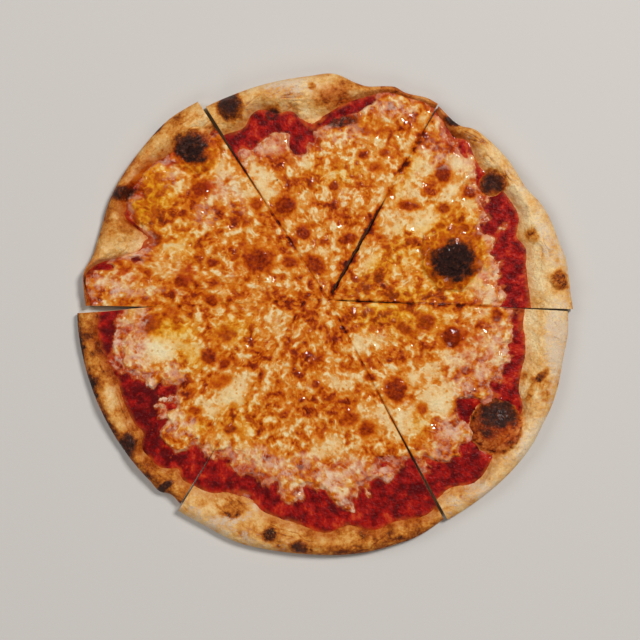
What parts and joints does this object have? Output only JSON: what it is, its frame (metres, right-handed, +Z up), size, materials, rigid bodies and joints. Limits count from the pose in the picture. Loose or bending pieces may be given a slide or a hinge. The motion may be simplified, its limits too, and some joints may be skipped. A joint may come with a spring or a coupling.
{
  "type": "margherita pizza",
  "caption": "Round baked cheese and tomato pizza with a blistered bready rim, cut right through into wedge slices that still lie together.",
  "frame": {"origin": "centre of the pizza's box, on the surface that it rests on", "axes": "+Z up out of the toppings; +X along the longest reach, close to the cut between the first slice and the last"},
  "size_m": [0.3616, 0.3504, 0.0176],
  "materials": {
    "crust": "baked, matt, browned and charred in places",
    "tomato_sauce": "wet, satin, grainy",
    "melted_cheese": "oily, satin, browned in spots"
  },
  "bodies": {
    "root": {"slice_1_dough": "crust", "slice_1_sauce": "tomato_sauce", "slice_1_cheese": "melted_cheese", "slice_2_dough": "crust", "slice_2_sauce": "tomato_sauce", "slice_2_cheese": "melted_cheese", "slice_3_dough": "crust", "slice_3_sauce": "tomato_sauce", "slice_3_cheese": "melted_cheese", "slice_4_dough": "crust", "slice_4_sauce": "tomato_sauce", "slice_4_cheese": "melted_cheese", "slice_5_dough": "crust", "slice_5_sauce": "tomato_sauce", "slice_5_cheese": "melted_cheese", "slice_6_dough": "crust", "slice_6_sauce": "tomato_sauce", "slice_6_cheese": "melted_cheese"}
  },
  "joints": []
}
